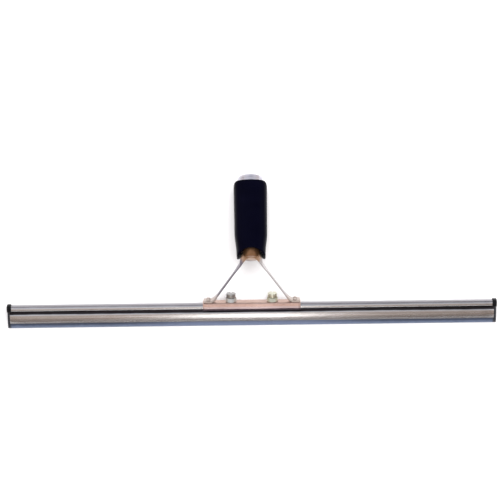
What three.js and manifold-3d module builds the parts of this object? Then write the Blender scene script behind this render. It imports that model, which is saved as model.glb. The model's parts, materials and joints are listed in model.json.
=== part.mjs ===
// A window cleaning squeegee: a rubber blade in a channel, held by a clamp on a wishbone handle.
// Millimetres, +Z up. It lies on a surface on its wiping edge and the rim of its handle.
// Blade frame: X along the blade, Y up from the wiping edge (height), Z towards the front.
// Grip frame: origin at the bend of the neck, Y along the grip, Z towards its front.

import * as THREE from 'three';
import { mergeVertices } from 'three/addons/utils/BufferGeometryUtils.js';
import Module from 'manifold-3d';

const wasm = await Module();
wasm.setup();

const FIT = 0.3;                    // clearance between touching pieces
const SIDES = [['left', -1], ['right', 1]];

const CHANNEL_LENGTH = 457;
const BLADE_LENGTH = 462;
const SHEET = 0.8;                  // channel wall
const LIP = { half: 2.5, height: 5.1 };
const SKIRT = { half: 4.1, height: 13.4 };
const GROOVE = { half: 2.4, bottom: 14.8 };
const BULB = { half: 3.8, rise: 2.85, centre: 19.5, power: 2.6 };

const EDGE_HALF = 1.0;              // half thickness of the wiping edge
const WAIST_HALF = 0.95;
const BEAD = { half: 2.4, bottom: 17.0, top: 19.9 };

const CLIP = { wall: 0.85, grip: 2.4, beyond: 2.4, stem: 13, stemHalf: 1.6, stemHeight: [20.2, 21.2] };

const SADDLE = { half: 46, wall: 0.85, lipHalf: 3.2, top: 23.95, corner: 1.2, slack: 0.35 };
const FOOT = { top: 26.3, inner: 38, outer: 45.5, depth: 4.5 };
const RIVET = { x: 41, z: 2.5, shank: 1.1, head: 1.9, dome: 1.0, tail: 1.4, tailHeight: 0.4 };

const SCREW_X = 19.5;
const THREAD_RADIUS = 2.5;
const SCREW_HEAD = { radius: 4.5, height: 3.2, bottom: 29.0, slotWidth: 1.2, slotDepth: 1.4 };
const NUT = { flats: 9, height: 3.7, bore: 2.85, recess: 3.6, recessDepth: 1.3 };
const PAD = { radius: 3.1, thickness: 1.0, seat: 1.3, seatDepth: 0.5, hole: 3.5 };

// A leg's centre line passes through x at height, and moves in by slope for each unit of height.
// It curves into its foot below the ankle heights of its inner and outer edge.
const LEG = { half: 1.0, slope: 0.718, x: 10.1, height: 61, depth: 2.5, innerAnkle: 29, outerAnkle: 31.5 };
const WINDOW_TOP = 67.3;
// The outline leaves the leg, turns and meets the crown's straight side at these heights.
const CROWN = { half: 10.8, depth: 5.5, leaves: 60, turns: 62.6, meets: 66, top: 84 };
const BEND = THREE.MathUtils.degToRad(40);
const BEND_AT = 68;                 // height of the bend above the wiping edge
const BEND_RADIUS = 22;

const SCALLOP = { radius: 17.5, centre: -11.5 };  // arched lower edge of the grip
const SPIGOT = { radius: 8, end: 24 };
const TUBE = { radius: 10, start: 6.2, end: 78.4, mouth: 9.4, throat: 8.5 };
const PIN = { radius: 1.5, at: 15, half: 9.6 };
// low, high and end are half width and half thickness at the bottom, the shoulder and the top.
const GRIP = {
  length: 73.9, shoulder: 5.5, power: 2.5, low: [13.6, 12.0], high: [16.1, 12.75], end: [13.2, 11.8],
};
const COLLAR = { radius: 11.85, start: 74.2, end: 79.8, lip: 9.5, chamfer: 0.8 };

const ROUND = 40;
const SMALL_ROUND = 20;
const BEYOND = 60;                  // reach of a cutting solid, past every side of the handle

// ---- solids ----

function solid(geometry) {
  const bare = geometry.clone();
  bare.deleteAttribute('normal');
  bare.deleteAttribute('uv');
  const merged = mergeVertices(bare, 1e-4);
  const corners = merged.index.array;
  const kept = [];
  for (let i = 0; i < corners.length; i += 3) {
    const [a, b, c] = [corners[i], corners[i + 1], corners[i + 2]];
    if (a !== b && b !== c && c !== a) kept.push(a, b, c);
  }
  return new wasm.Manifold(new wasm.Mesh({
    numProp: 3,
    vertProperties: Float32Array.from(merged.attributes.position.array),
    triVerts: Uint32Array.from(kept),
  }));
}

function geometryOf(manifold) {
  const mesh = manifold.getMesh();
  const geometry = new THREE.BufferGeometry();
  geometry.setAttribute('position', new THREE.BufferAttribute(mesh.vertProperties, 3));
  geometry.setIndex(new THREE.BufferAttribute(mesh.triVerts, 1));
  return geometry;
}

function cut(base, ...tools) {
  return tools.reduce((left, tool) => left.subtract(tool), base);
}

function shapeOf(points) {
  return new THREE.Shape(points.map(([x, y]) => new THREE.Vector2(x, y)));
}

// A section drawn as (height, front) and run along X, centred on zero.
function alongX(shape, length) {
  const geometry = new THREE.ExtrudeGeometry(
    shape, { depth: length, bevelEnabled: false, curveSegments: 12 });
  geometry.translate(0, 0, -length / 2);
  const turn = new THREE.Matrix4().makeBasis(
    new THREE.Vector3(0, 1, 0), new THREE.Vector3(0, 0, 1), new THREE.Vector3(1, 0, 0));
  return geometry.applyMatrix4(turn);
}

// An outline drawn as (X, height) and run front to back.
function throughFront(shape, half, segments = 10) {
  const geometry = new THREE.ExtrudeGeometry(
    shape, { depth: 2 * half, bevelEnabled: false, curveSegments: segments });
  return geometry.translate(0, 0, -half);
}

// A closed profile of [radius, height] pairs turned about Y.
function turned(profile, segments = ROUND) {
  const points = profile.map(([radius, height]) => new THREE.Vector2(radius, height));
  return new THREE.LatheGeometry(points, segments);
}

function rod(radius, from, to, segments = ROUND) {
  return turned([[0, from], [radius, from], [radius, to], [0, to]], segments);
}

function block(sizeX, sizeY, sizeZ, x, y, z) {
  return new THREE.BoxGeometry(sizeX, sizeY, sizeZ).translate(x, y, z);
}

// ---- channel section ----

function rounded(angle, power) {
  const bend = (value) => Math.sign(value) * Math.abs(value) ** (2 / power);
  return [bend(Math.sin(angle)), bend(Math.cos(angle))];
}

// Points of the bulb, as [height, front], between two angles measured up from the front.
function bulbArc(grow, from, to, steps) {
  return Array.from({ length: steps + 1 }, (_, i) => {
    const [up, out] = rounded(from + (to - from) * i / steps, BULB.power);
    return [BULB.centre + (BULB.rise + grow) * up, (BULB.half + grow) * out];
  });
}

function bulbAngle(half, grow) {
  const share = half / (BULB.half + grow);
  return -Math.acos(share ** (BULB.power / 2));
}

function mirrored(points) {
  return points.map(([height, front]) => [height, -front]).reverse();
}

// The same open line moved to its left by a distance, with mitred corners.
function inset(points, distance) {
  return points.map((point, i) => {
    const before = points[Math.max(i - 1, 0)];
    const after = points[Math.min(i + 1, points.length - 1)];
    const one = new THREE.Vector2(point[0] - before[0], point[1] - before[1]).normalize();
    const two = new THREE.Vector2(after[0] - point[0], after[1] - point[1]).normalize();
    if (i === 0) one.copy(two);
    if (i === points.length - 1) two.copy(one);
    const along = one.clone().add(two).normalize();
    const stretch = distance / Math.max(along.dot(one), 0.6);
    return [point[0] - along.y * stretch, point[1] + along.x * stretch];
  });
}

function channelSide() {
  const skirt = new THREE.QuadraticBezierCurve(
    new THREE.Vector2(LIP.height, LIP.half),
    new THREE.Vector2((LIP.height + SKIRT.height) / 2, SKIRT.half),
    new THREE.Vector2(SKIRT.height, SKIRT.half));
  const shoulder = new THREE.QuadraticBezierCurve(
    new THREE.Vector2(SKIRT.height, SKIRT.half),
    new THREE.Vector2(GROOVE.bottom, SKIRT.half),
    new THREE.Vector2(GROOVE.bottom, GROOVE.half));
  const front = [...skirt.getPoints(8), ...shoulder.getPoints(5).slice(1)].map((p) => [p.x, p.y]);
  return [...front, ...bulbArc(0, bulbAngle(GROOVE.half, 0), Math.PI / 2, 12)];
}

function channel() {
  const outside = channelSide();
  const inside = inset(outside, -SHEET);
  inside[inside.length - 1][1] = 0;
  const outer = [...outside, ...mirrored(outside).slice(1)];
  const inner = [...inside, ...mirrored(inside).slice(1)];
  return alongX(shapeOf([...outer, ...inner.reverse()]), CHANNEL_LENGTH);
}

function bladeRubber() {
  const front = [
    [0, EDGE_HALF], [LIP.height, 1.35], [11.5, 1.35], [13.5, WAIST_HALF], [BEAD.bottom, WAIST_HALF],
    [18.0, 1.9], [18.7, BEAD.half], [19.4, BEAD.half], [BEAD.top, 1.8],
  ];
  return alongX(shapeOf([...front, ...mirrored(front)]), BLADE_LENGTH);
}

// A cap round the end of the bulb, with a stem that presses on the bead inside it.
function endClip(side) {
  const outer = bulbArc(FIT + CLIP.wall, 0, 2 * Math.PI, 40).slice(0, -1);
  const inner = bulbArc(FIT, 0, 2 * Math.PI, 40).slice(0, -1);
  const end = CHANNEL_LENGTH / 2;
  const length = CLIP.grip + FIT + CLIP.beyond;
  const middle = end - CLIP.grip + length / 2;
  const bulbBottom = BULB.centre - BULB.rise;
  const wrap = solid(alongX(shapeOf(outer), length).translate(middle, 0, 0));
  const room = solid(
    alongX(shapeOf(inner), CLIP.grip + FIT).translate(end + (FIT - CLIP.grip) / 2, 0, 0));
  const neck = solid(block(40, 6, 2 * (GROOVE.half + 0.6), end, bulbBottom - 1.5, 0));
  const beadHeight = BEAD.top + FIT - bulbBottom + 2;
  const beadWay = solid(
    block(40, beadHeight, 2 * (BEAD.half + FIT), end, BEAD.top + FIT - beadHeight / 2, 0));
  const [low, high] = CLIP.stemHeight;
  const stem = solid(block(CLIP.stem, high - low, 2 * CLIP.stemHalf,
    end + FIT + 1 - CLIP.stem / 2, (low + high) / 2, 0));
  const clip = cut(wrap, room, neck, beadWay).add(stem);
  return geometryOf(clip).rotateY(side > 0 ? 0 : Math.PI);
}

// ---- clamp ----

function clampSaddle() {
  const { lipHalf, top, corner, slack, wall } = SADDLE;
  const side = BULB.half + slack + wall;
  const inner = bulbArc(slack, bulbAngle(lipHalf, slack), Math.PI / 2, 12);
  const edge = new THREE.Path();
  edge.moveTo(top, 0);
  edge.lineTo(top, side - corner);
  edge.quadraticCurveTo(top, side, top - corner, side);
  const shoulder = edge.getPoints(5).map((p) => [p.x, p.y]);
  const hug = bulbArc(slack + wall, 0, bulbAngle(lipHalf, slack + wall), 9);
  const half = [...shoulder, ...hug, ...inner];
  const section = [...half, ...mirrored(half).slice(1, -1)].reverse();
  const body = solid(alongX(shapeOf(section), 2 * SADDLE.half));
  const padHoles = SIDES.map(([, s]) => solid(
    rod(PAD.hole, 21, 27, SMALL_ROUND).translate(s * SCREW_X, 0, 0)));
  const rivetHoles = rivetPlaces().map(([x, z]) => solid(turned([
    [0, 20], [RIVET.tail + FIT, 20], [RIVET.tail + FIT, tailTop()], [RIVET.shank + FIT, tailTop() + 0.4],
    [RIVET.shank + FIT, 27], [0, 27]], SMALL_ROUND).translate(x, 0, z)));
  return geometryOf(cut(body, ...padHoles, ...rivetHoles));
}

function rivetPlaces() {
  return SIDES.flatMap(([, s]) => [[s * RIVET.x, RIVET.z], [s * RIVET.x, -RIVET.z]]);
}

function tailTop() {
  return SADDLE.top - 0.7;
}

function footRivet() {
  const seat = FOOT.top + FIT;
  const low = tailTop() - RIVET.tailHeight;
  return turned([
    [0, low], [RIVET.tail, low], [RIVET.tail, tailTop() - FIT], [RIVET.shank, tailTop() + 0.4 - FIT],
    [RIVET.shank, seat], [RIVET.head, seat], [RIVET.head * 0.92, seat + RIVET.dome * 0.5],
    [RIVET.head * 0.6, seat + RIVET.dome * 0.88], [0, seat + RIVET.dome]], SMALL_ROUND);
}

function clampNut() {
  const bottom = SADDLE.top + FIT;
  const corner = NUT.flats / 2 / Math.cos(Math.PI / 6);
  const hexagon = solid(rod(corner, bottom, bottom + NUT.height, 6));
  const bore = solid(rod(NUT.bore, bottom - 1, bottom + NUT.height + 1, SMALL_ROUND));
  const recess = solid(rod(NUT.recess, bottom - 1, bottom + NUT.recessDepth, SMALL_ROUND));
  return geometryOf(cut(hexagon, bore, recess));
}

function padTop() {
  return BULB.centre + BULB.rise + FIT + PAD.thickness;
}

function clampScrew() {
  const tip = padTop() + FIT;
  const nose = padTop() - PAD.seatDepth + FIT;
  const { radius, height, bottom, slotWidth, slotDepth } = SCREW_HEAD;
  const body = solid(turned([
    [0, nose], [PAD.seat - FIT, nose], [PAD.seat - FIT, tip], [THREAD_RADIUS - 0.5, tip],
    [THREAD_RADIUS, tip + 0.5], [THREAD_RADIUS, bottom], [radius, bottom],
    [radius, bottom + height - 0.5], [radius - 0.5, bottom + height], [0, bottom + height]], SMALL_ROUND));
  const slot = solid(block(slotWidth, 2 * slotDepth, 3 * radius, 0, bottom + height, 0));
  return geometryOf(cut(body, slot));
}

function pressurePad() {
  const top = padTop();
  return turned([
    [0, top - PAD.thickness], [PAD.radius - 0.2, top - PAD.thickness],
    [PAD.radius, top - PAD.thickness + 0.2], [PAD.radius, top], [PAD.seat, top],
    [PAD.seat, top - PAD.seatDepth], [0, top - PAD.seatDepth]], SMALL_ROUND);
}

// ---- handle ----

function yokeOutline() {
  const { half, slope, height, innerAnkle, outerAnkle } = LEG;
  const inner = (at) => LEG.x - half + (height - at) * slope;
  const outer = (at) => LEG.x + half + (height - at) * slope;
  const base = SADDLE.top + FIT;
  const right = new THREE.Path();
  right.moveTo(0, WINDOW_TOP);
  right.quadraticCurveTo(inner(WINDOW_TOP), WINDOW_TOP, inner(height), height);
  right.lineTo(inner(innerAnkle), innerAnkle);
  right.quadraticCurveTo(inner(base), base, FOOT.inner, base);
  right.lineTo(FOOT.outer, base);
  right.lineTo(FOOT.outer, FOOT.top);
  right.lineTo(FOOT.inner + 1.5, FOOT.top);
  right.quadraticCurveTo(outer(FOOT.top), FOOT.top, outer(outerAnkle), outerAnkle);
  right.lineTo(outer(CROWN.leaves), CROWN.leaves);
  right.quadraticCurveTo(outer(CROWN.turns), CROWN.turns, CROWN.half, CROWN.meets);
  right.lineTo(CROWN.half, CROWN.top);
  const points = right.getPoints(8).map((p) => [p.x, p.y]);
  const left = points.slice(1).map(([x, y]) => [-x, y]).reverse();
  return shapeOf([...points, ...left]);
}

// Side view of the yoke: straight, then bent back, drawn as (height, front).
function bandOutline() {
  const start = BEND_AT - BEND_RADIUS * Math.tan(BEND / 2);
  const [far, near] = [Math.PI / 2, Math.PI / 2 - BEND];
  const run = 30;
  const outside = BEND_RADIUS + CROWN.depth;
  const inside = BEND_RADIUS - CROWN.depth;
  const ahead = [run * Math.cos(BEND), -run * Math.sin(BEND)];
  const end = (radius) => [
    start + radius * Math.cos(near) + ahead[0], -BEND_RADIUS + radius * Math.sin(near) + ahead[1]];
  const band = new THREE.Shape();
  const [footEnd, legLow, legHigh] = [FOOT.top + 1, FOOT.top + 6, start - 10];
  band.moveTo(SADDLE.top - 4, -FOOT.depth);
  band.lineTo(footEnd, -FOOT.depth);
  band.quadraticCurveTo(legLow - 2, -LEG.depth, legLow, -LEG.depth);
  band.lineTo(legHigh, -LEG.depth);
  band.quadraticCurveTo(start - 5, -LEG.depth, start, -CROWN.depth);
  band.absarc(start, -BEND_RADIUS, inside, far, near, true);
  band.lineTo(...end(inside));
  band.lineTo(...end(outside));
  band.absarc(start, -BEND_RADIUS, outside, near, far, false);
  band.quadraticCurveTo(start - 5, LEG.depth, legHigh, LEG.depth);
  band.lineTo(legLow, LEG.depth);
  band.quadraticCurveTo(legLow - 2, LEG.depth, footEnd, FOOT.depth);
  band.lineTo(SADDLE.top - 4, FOOT.depth);
  return band;
}

// Moves geometry drawn in the grip frame into the blade frame.
function fromGrip(geometry) {
  return geometry.rotateX(-BEND).translate(0, BEND_AT, 0);
}

function yoke() {
  const outline = solid(throughFront(yokeOutline(), BEYOND));
  const band = solid(alongX(bandOutline(), 2 * BEYOND));
  const reach = SCALLOP.radius - 2 * FIT;
  const dome = new THREE.Shape();
  dome.moveTo(-BEYOND, -2 * BEYOND);
  dome.lineTo(BEYOND, -2 * BEYOND);
  dome.lineTo(BEYOND, SCALLOP.centre);
  dome.lineTo(reach, SCALLOP.centre);
  dome.absarc(0, SCALLOP.centre, reach, 0, Math.PI, false);
  dome.lineTo(-BEYOND, SCALLOP.centre);
  const limit = solid(fromGrip(throughFront(dome, 1.5 * BEYOND, 20)));
  const spigot = solid(fromGrip(rod(SPIGOT.radius, 0, SPIGOT.end)));
  const rivetHoles = rivetPlaces().map(([x, z]) => solid(
    rod(RIVET.shank + FIT, 22, 30, SMALL_ROUND).translate(x, 0, z)));
  const body = outline.intersect(band).intersect(limit).add(spigot);
  return geometryOf(cut(body, solid(fromGrip(pinHole())), ...rivetHoles));
}

function crossRod(radius, half) {
  return rod(radius, -half, half, SMALL_ROUND).rotateZ(Math.PI / 2).translate(0, PIN.at, 0);
}

function pinHole() {
  return crossRod(PIN.radius + FIT, 2 * TUBE.radius);
}

function poleSocket() {
  const body = solid(turned([
    [TUBE.throat, TUBE.start], [TUBE.radius, TUBE.start], [TUBE.radius, TUBE.end],
    [TUBE.mouth, TUBE.end], [TUBE.throat, SPIGOT.end], [TUBE.throat, TUBE.start]]));
  return geometryOf(cut(body, solid(pinHole())));
}

function socketPin() {
  return crossRod(PIN.radius, PIN.half);
}

function socketCollar() {
  const { radius, start, end, lip, chamfer } = COLLAR;
  const bore = TUBE.radius + FIT;
  return turned([
    [bore, start], [radius - 0.4, start], [radius, start + 0.4], [radius, end - chamfer],
    [radius - chamfer, end], [lip, end], [lip, TUBE.end + FIT], [bore, TUBE.end + FIT], [bore, start]]);
}

// Half width and half thickness of the grip at a distance along it.
function gripSize(along) {
  const straight = GRIP.length - GRIP.shoulder;
  const share = Math.min(along / straight, 1);
  const rise = Math.max(0, (along - straight) / GRIP.shoulder);
  const fall = 1 - Math.sqrt(1 - Math.min(rise, 1) ** 2);
  return [0, 1].map((i) => {
    const full = GRIP.low[i] + (GRIP.high[i] - GRIP.low[i]) * share ** 1.3;
    return full + (GRIP.end[i] - full) * fall;
  });
}

function gripBody() {
  const around = 48;
  const straight = GRIP.length - GRIP.shoulder;
  const stations = [
    ...Array.from({ length: 8 }, (_, i) => straight * i / 7),
    ...Array.from({ length: 6 }, (_, i) => straight + GRIP.shoulder * Math.sin((i + 1) * Math.PI / 12)),
  ];
  const positions = [];
  for (const along of stations) {
    const [wide, thick] = gripSize(along);
    for (let i = 0; i < around; i += 1) {
      const [up, out] = rounded(i / around * 2 * Math.PI, GRIP.power);
      positions.push(wide * out, along, -thick * up);
    }
  }
  const last = stations.length - 1;
  positions.push(0, 0, 0, 0, GRIP.length, 0);
  const [lowCentre, highCentre] = [around * stations.length, around * stations.length + 1];
  const triangles = [];
  for (let i = 0; i < around; i += 1) {
    const next = (i + 1) % around;
    for (let s = 0; s < last; s += 1) {
      const [a, b] = [s * around + i, s * around + next];
      triangles.push(a, b, a + around, b, b + around, a + around);
    }
    triangles.push(lowCentre, next, i, highCentre, last * around + i, last * around + next);
  }
  const geometry = new THREE.BufferGeometry();
  geometry.setAttribute('position', new THREE.Float32BufferAttribute(positions, 3));
  geometry.setIndex(triangles);
  return geometry;
}

function gripSleeve() {
  const bore = solid(rod(TUBE.radius + FIT, -10, GRIP.length + 10));
  const scallop = solid(
    rod(SCALLOP.radius, -30, 30, 64).rotateX(Math.PI / 2).translate(0, SCALLOP.centre, 0));
  return geometryOf(cut(solid(gripBody()), bore, scallop));
}

// ---- assembly ----

const STEEL = { color: 0xb9b9bf, roughness: 0.28, metalness: 1 };
const BRONZE = { color: 0xc08a5e, roughness: 0.35, metalness: 1 };
const SCREW_METAL = { color: 0x8f9078, roughness: 0.35, metalness: 1 };
const RUBBER = { color: 0x0c0c10, roughness: 0.6, metalness: 0 };
const BLADE_RUBBER = { color: 0x2b3038, roughness: 0.55, metalness: 0 };
const PLASTIC = { color: 0x0a0a0a, roughness: 0.4, metalness: 0 };

function piece(name, geometry, look) {
  const mesh = new THREE.Mesh(geometry, new THREE.MeshStandardMaterial(look));
  mesh.name = name;
  return mesh;
}

function bladeSide() {
  const group = new THREE.Group();
  group.add(piece('channel', channel(), STEEL), piece('blade_rubber', bladeRubber(), BLADE_RUBBER));
  group.add(piece('clamp_saddle', clampSaddle(), BRONZE), piece('yoke', yoke(), BRONZE));
  for (const [side, sign] of SIDES) {
    group.add(piece(`end_clip_${side}`, endClip(sign), PLASTIC));
    const stack = new THREE.Group();
    stack.position.x = sign * SCREW_X;
    stack.add(piece(`clamp_nut_${side}`, clampNut(), SCREW_METAL));
    stack.add(piece(`clamp_screw_${side}`, clampScrew(), SCREW_METAL));
    stack.add(piece(`pressure_pad_${side}`, pressurePad(), BRONZE));
    group.add(stack);
    for (const [face, depth] of [['front', RIVET.z], ['rear', -RIVET.z]]) {
      const rivet = piece(`foot_rivet_${side}_${face}`, footRivet(), BRONZE);
      rivet.position.set(sign * RIVET.x, 0, depth);
      group.add(rivet);
    }
  }
  return group;
}

function gripSide() {
  const group = new THREE.Group();
  group.position.y = BEND_AT;
  group.rotation.x = -BEND;
  group.add(piece('pole_socket', poleSocket(), STEEL), piece('socket_pin', socketPin(), STEEL));
  group.add(piece('socket_collar', socketCollar(), STEEL), piece('grip_sleeve', gripSleeve(), RUBBER));
  return group;
}

// The tilt of the blade when its rear edge and the collar's rim both touch the surface.
function lyingAngle() {
  const reach = COLLAR.end - COLLAR.chamfer;
  const height = BEND_AT + reach * Math.cos(BEND) - COLLAR.radius * Math.sin(BEND);
  const front = -reach * Math.sin(BEND) - COLLAR.radius * Math.cos(BEND);
  return Math.atan2(-(front + EDGE_HALF), height);
}

const tilted = bladeSide();
tilted.add(gripSide());
tilted.rotation.x = lyingAngle();

const squeegee = new THREE.Group();
squeegee.add(tilted);
squeegee.updateMatrixWorld(true);
const box = new THREE.Box3().setFromObject(squeegee, true);
tilted.position.set(0, -(box.min.y + box.max.y) / 2, -box.min.z);

export default squeegee;
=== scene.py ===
import json
import math

import bmesh
import bpy
from mathutils import Matrix, Quaternion, Vector


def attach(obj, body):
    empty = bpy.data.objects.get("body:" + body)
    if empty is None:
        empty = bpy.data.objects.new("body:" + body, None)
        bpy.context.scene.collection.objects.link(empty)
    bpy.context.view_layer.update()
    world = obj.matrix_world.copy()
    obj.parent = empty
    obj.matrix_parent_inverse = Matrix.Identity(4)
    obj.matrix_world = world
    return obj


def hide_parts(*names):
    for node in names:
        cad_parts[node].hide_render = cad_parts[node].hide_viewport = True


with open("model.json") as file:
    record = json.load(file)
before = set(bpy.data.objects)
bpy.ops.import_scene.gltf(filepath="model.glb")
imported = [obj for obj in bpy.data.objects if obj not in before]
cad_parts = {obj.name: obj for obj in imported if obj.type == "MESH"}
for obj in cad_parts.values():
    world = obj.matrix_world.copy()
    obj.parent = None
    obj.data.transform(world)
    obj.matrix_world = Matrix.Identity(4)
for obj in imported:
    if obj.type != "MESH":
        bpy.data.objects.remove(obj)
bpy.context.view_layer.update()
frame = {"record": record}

# Looks of a window cleaning squeegee. Lengths are millimetres in two local frames, and each
# mesh is turned into metres as it is made.
# Blade frame: X along the blade, Y up from the wiping edge (height), Z towards the front.
# Grip frame: origin at the bend of the neck, Y along the grip, Z towards its front.

MM = 0.001
SIDES = (("left", -1), ("right", 1))

CHANNEL_LENGTH = 457
BLADE_LENGTH = 462
SHEET = 0.8
LIP_HALF, LIP_HEIGHT = 2.5, 5.1
SKIRT_HALF, SKIRT_HEIGHT = 4.1, 13.4
GROOVE_HALF, GROOVE_BOTTOM = 2.4, 14.8
BULB_HALF, BULB_RISE, BULB_CENTRE, BULB_POWER = 3.8, 2.85, 19.5, 2.6

SADDLE_HALF, SADDLE_TOP, SADDLE_SLACK, SADDLE_WALL = 46, 23.95, 0.35, 0.85
SADDLE_LIP, SADDLE_CORNER = 3.2, 1.2
CLIP_SLACK, CLIP_WALL, CLIP_SLIT = 0.12, 0.7, 2.7
STEM_LOW, STEM_HIGH, STEM_HALF, STEM_LENGTH = 20.2, 21.2, 1.6, 11.7

FOOT_BASE, FOOT_TOP, FOOT_INNER, FOOT_OUTER = 24.05, 25.8, 38, 45.5
LEG_X, LEG_HEIGHT, LEG_SLOPE, LEG_HALF = 10.1, 61, 0.718, 1.0
FOOT_DEPTH, LEG_DEPTH, CROWN_DEPTH = 4.5, 2.5, 5.5
WINDOW_TOP = 67.3
BEND_AT, BEND_RADIUS, BEND = 68, 22, math.radians(40)
RIVET_X, RIVET_Z, RIVET_HOLE = 41, 2.5, 1.2

SCREW_X, SCREW_HOLE, THREAD_RADIUS, THREAD_DEPTH, PITCH = 19.5, 3.5, 2.5, 0.45, 0.8
HEAD_RADIUS, HEAD_BOTTOM, HEAD_HEIGHT = 4.5, 28.5, 3.7
SLOT_HALF, SLOT_DEPTH = 0.6, 1.4
NUT_FLATS, NUT_BOTTOM, NUT_HEIGHT = 9, 24.1, 3.85
PAD_RADIUS, PAD_TOP = 3.1, BULB_CENTRE + BULB_RISE + 1.3

SPIGOT_RADIUS, SPIGOT_END = 8, 24
TUBE_RADIUS, TUBE_START, TUBE_END, MOUTH, THROAT = 10, 6.2, 78.4, 9.4, 8.5
PIN_RADIUS, PIN_HOLE, PIN_AT, PIN_HALF = 1.5, 1.8, 15, 9.6
GRIP_LENGTH, GRIP_SHOULDER, GRIP_POWER = 73.9, 3.8, 3.2
GRIP_LOW, GRIP_HIGH, GRIP_END = (13.6, 12.0), (15.8, 12.75), (14.1, 11.9)
SCALLOP_RADIUS, SCALLOP_CENTRE, SCALLOP_REACH = 17.5, -11.5, 13.2
COLLAR_RADIUS, COLLAR_START, COLLAR_END, COLLAR_LIP = 11.85, 74.2, 79.8, 9.5
BORE = TUBE_RADIUS + 0.3


# ---- frames and meshes ----

def local_frame(origin, along):
    """A frame in millimetres with X across, Y in a given direction and Z towards its front."""
    across = Vector((1, 0, 0))
    along = Vector(along).normalized()
    turn = Matrix((across, along, across.cross(along))).transposed() * MM
    return Matrix.Translation(origin) @ turn.to_4x4()


mounts = {mount["name"]: mount for mount in frame["record"]["mounts"]}
edge, rim = mounts["wiping_edge"], mounts["pole_socket_rim"]
BLADE = local_frame(Vector(edge["pos_m"]), -Vector(edge["axis"]))
rim_centre = Vector((0, rim["pos_m"][1], rim["pos_m"][2]))
GRIP = local_frame(rim_centre - Vector(rim["axis"]) * COLLAR_END * MM, rim["axis"])


def outward(piece):
    """Joins doubled points and turns the faces to point out."""
    work = bmesh.new()
    work.from_mesh(piece.data)
    bmesh.ops.remove_doubles(work, verts=work.verts, dist=2e-7)
    bmesh.ops.recalc_face_normals(work, faces=work.faces)
    work.to_mesh(piece.data)
    work.free()


def add_mesh(name, shape, place):
    vertices, faces = shape
    mesh = bpy.data.meshes.new(name)
    mesh.from_pydata([place @ Vector(v) for v in vertices], [], faces)
    mesh.validate()
    piece = bpy.data.objects.new(name, mesh)
    bpy.context.scene.collection.objects.link(piece)
    outward(piece)
    return piece


def smooth(piece, angle=32):
    piece.data.shade_smooth()
    piece.data.set_sharp_from_angle(angle=math.radians(angle))


def round_edges(piece, width, segments=2, angle=32):
    bevel = piece.modifiers.new("edges", "BEVEL")
    bevel.width = width * MM
    bevel.segments = segments
    bevel.limit_method = "ANGLE"
    bevel.angle_limit = math.radians(angle)
    bevel.use_clamp_overlap = True
    bevel.harden_normals = False
    piece.data.shade_smooth()


def combine(piece, shape, place, operation="DIFFERENCE"):
    """Cuts a piece with a shape, or joins them."""
    tool = add_mesh("tool", shape, place)
    step = piece.modifiers.new("combine", "BOOLEAN")
    step.operation = operation
    step.solver = "EXACT"
    step.object = tool
    done = piece.evaluated_get(bpy.context.evaluated_depsgraph_get())
    mesh = bpy.data.meshes.new_from_object(done)
    piece.modifiers.clear()
    old = piece.data
    piece.data = mesh
    bpy.data.meshes.remove(old)
    bpy.data.objects.remove(tool)


def settle(piece, material, body, slot, *nodes):
    """Gives a piece its material and its body, and hides the CAD nodes that it replaces. The slot is not
    used.
    """
    piece.data.materials.clear()
    piece.data.materials.append(material)
    for polygon in piece.data.polygons:
        polygon.material_index = 0
    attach(piece, body)
    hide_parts(*nodes)


# ---- shapes, each as (vertices, faces) ----

def loft(rings, closed=False):
    """Rings with equal counts of points, joined by quads. A closed loft joins its ends."""
    count = len(rings[0])
    vertices = [point for ring in rings for point in ring]
    faces = []
    last = len(rings) if closed else len(rings) - 1
    for r in range(last):
        here, there = r * count, (r + 1) % len(rings) * count
        for i in range(count):
            j = (i + 1) % count
            faces.append((here + i, here + j, there + j, there + i))
    if not closed:
        faces.append(tuple(reversed(range(count))))
        faces.append(tuple(range(len(vertices) - count, len(vertices))))
    return vertices, faces


def prism(section, stations):
    return loft([[(x, height, front) for height, front in section] for x in stations])


def circle(radius, height, segments):
    angles = (2 * math.pi * i / segments for i in range(segments))
    return [(radius * math.cos(a), height, radius * math.sin(a)) for a in angles]


def turned(profile, segments=64, closed=False):
    """(radius, height) pairs turned about Y. An open profile is capped with flat faces."""
    return loft([circle(radius, height, segments) for radius, height in profile], closed)


def moved(shape, offset):
    vertices, faces = shape
    return [tuple(Vector(v) + Vector(offset)) for v in vertices], faces


def across_x(shape, height):
    """Turns a shape made along Y to lie along X, at a height."""
    vertices, faces = shape
    return [(y, height - x, z) for x, y, z in vertices], faces


def span(start, end, steps):
    return [start + (end - start) * i / steps for i in range(steps + 1)]


def arc(centre, radius, start, end, steps):
    """Points (radius, height) round a centre, with angles in degrees."""
    return [(centre[0] + radius * math.cos(math.radians(a)),
             centre[1] + radius * math.sin(math.radians(a))) for a in span(start, end, steps)]


def curve(start, pull, end, steps):
    """Points of a quadratic curve, without its first point."""
    points = []
    for t in span(0, 1, steps)[1:]:
        points.append(tuple(a * (1 - t) ** 2 + 2 * b * t * (1 - t) + c * t * t
                            for a, b, c in zip(start, pull, end)))
    return points


def ease(value, low, high):
    t = min(max((value - low) / (high - low), 0), 1)
    return t * t * (3 - 2 * t)


def squircle(angle, power):
    """A point of a circle with squarer corners. A power of 2 is a true circle."""
    def part(value):
        return math.copysign(abs(value) ** (2 / power), value)
    return part(math.cos(angle)), part(math.sin(angle))


# ---- channel, blade and clips ----

def bulb_arc(grow, start, end, steps):
    """(height, front) points round the bulb, a little larger than it. Angles are in radians."""
    points = []
    for angle in span(start, end, steps):
        out, up = squircle(angle, BULB_POWER)
        points.append((BULB_CENTRE + (BULB_RISE + grow) * up, (BULB_HALF + grow) * out))
    return points


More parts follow.
